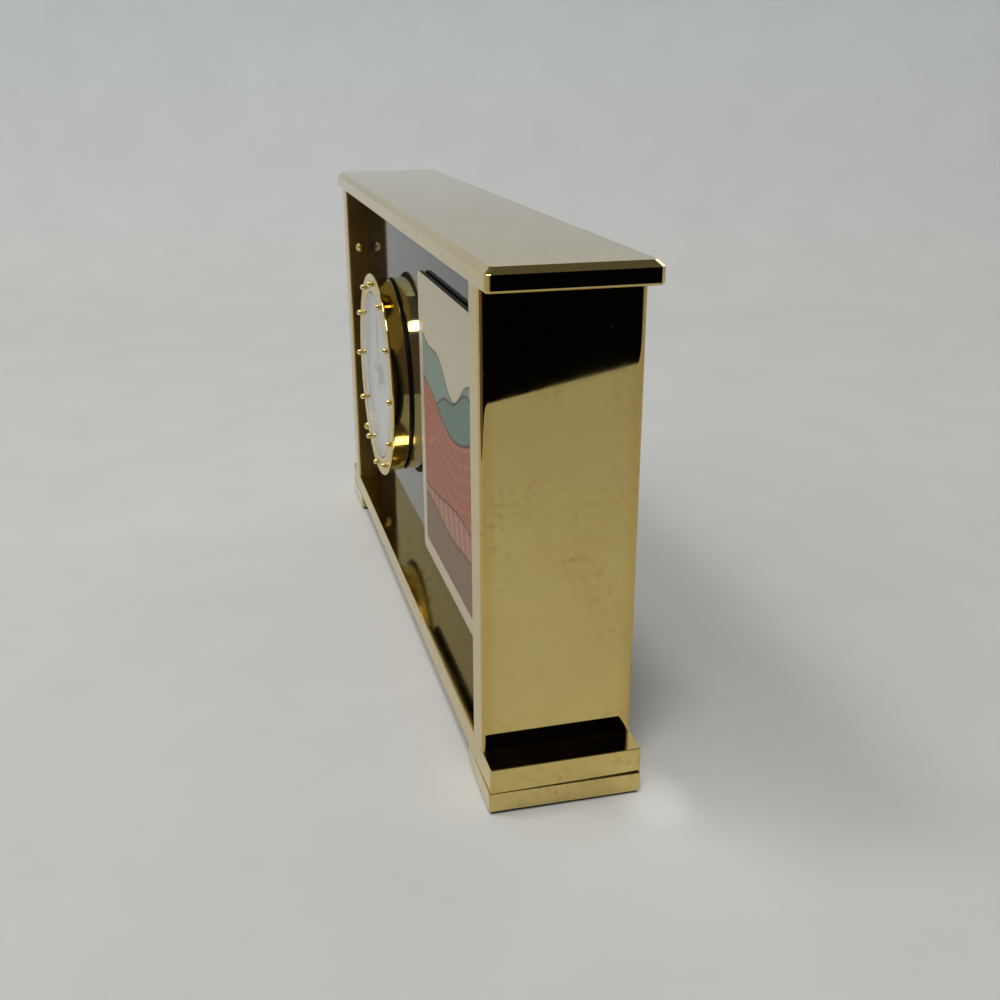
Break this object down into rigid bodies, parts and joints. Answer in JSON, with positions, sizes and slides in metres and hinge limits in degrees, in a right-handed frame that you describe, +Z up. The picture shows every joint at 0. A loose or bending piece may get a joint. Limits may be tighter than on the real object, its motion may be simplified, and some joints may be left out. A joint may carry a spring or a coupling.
{
  "type": "desk clock",
  "caption": "Low wide desk clock: polished gold frame of plates round a black panel, with a shallow clock drum on the left and a picture plate on the right.",
  "frame": {"origin": "on the table under the middle of the clock", "axes": "+X to the right end, -Y to the front with the dial, +Z up"},
  "size_m": [0.151, 0.0255, 0.0839],
  "materials": {
    "gold_frame": "polished",
    "gold_trim": "polished",
    "black_felt": "felt",
    "steel": "plain",
    "spacer_metal": "turned",
    "black_gloss": "polished",
    "black_matt": "moulded",
    "knob_black": "moulded",
    "gasket_black": "plain",
    "picture_print": "printed, satin",
    "pad_foam": "foam",
    "clear_crystal": "polished",
    "white_dial": "matt",
    "hand_black": "satin",
    "movement_brass": "turned",
    "arbor_steel": "turned",
    "drive_white": "moulded",
    "coil_copper": "enamelled wire",
    "stator_iron": "plain",
    "board_green": "plain",
    "chip_black": "plain",
    "can_metal": "plain",
    "contact_metal": "plain"
  },
  "bodies": {
    "clock": {"top_cap": "gold_frame", "left_side_plate": "gold_frame", "right_side_plate": "gold_frame", "base_plate": "gold_frame", "left_foot": "gold_frame", "right_foot": "gold_frame", "drum_case": "gold_trim", "hour_balls": "gold_trim", "side_studs": "gold_trim", "foot_felts": "black_felt", "tie_bolts": "steel", "dowel_pins": "steel", "rear_screws": "steel", "panel_spacers": "spacer_metal", "front_panel": "black_gloss", "rear_panel": "black_matt", "movement_cup": "black_matt", "rear_cap": "black_matt", "clamp_ring": "black_matt", "drum_gasket": "gasket_black", "picture_plate": "picture_print", "picture_pad": "pad_foam", "crystal": "clear_crystal", "dial": "white_dial", "movement_plate": "movement_brass", "train_plate": "movement_brass", "plate_pillars": "movement_brass", "drive_unit": "drive_white", "coil": "coil_copper", "stator": "stator_iron", "circuit_board": "board_green", "drive_chip": "chip_black", "time_crystal": "can_metal", "battery": "can_metal", "battery_contacts": "contact_metal"},
    "setting": {"set_knob": "knob_black", "set_shaft": "arbor_steel"},
    "minute_train": {"centre_arbor": "arbor_steel", "minute_hand": "hand_black"},
    "hour_train": {"hour_wheel": "movement_brass", "hour_hand": "hand_black"},
    "idler": {"idler_wheel": "movement_brass"},
    "battery_lid": {"battery_cover": "black_matt"}
  },
  "joints": [
    {"name": "set_turn", "type": "hinge", "parent": "clock", "child": "setting", "pos_m": [-0.02294, 0, 0.03519], "axis": [0, 1, 0], "continuous": true},
    {"name": "minute_turn", "type": "hinge", "parent": "clock", "child": "minute_train", "pos_m": [-0.031, 0, 0.04325], "axis": [0, 1, 0], "continuous": true},
    {"name": "hour_turn", "type": "hinge", "parent": "clock", "child": "hour_train", "pos_m": [-0.031, 0, 0.04325], "axis": [0, 1, 0], "continuous": true},
    {"name": "idler_turn", "type": "hinge", "parent": "clock", "child": "idler", "pos_m": [-0.031, 0, 0.03519], "axis": [0, 1, 0], "continuous": true},
    {"name": "lid_turn", "type": "hinge", "parent": "clock", "child": "battery_lid", "pos_m": [-0.039, 0, 0.05025], "axis": [0, 1, 0], "range_deg": [0, 45]}
  ],
  "couplings": [
    {"joint": "minute_turn", "follows": "set_turn", "ratio": 1},
    {"joint": "hour_turn", "follows": "set_turn", "ratio": 0.083333},
    {"joint": "idler_turn", "follows": "set_turn", "ratio": -0.33333}
  ]
}
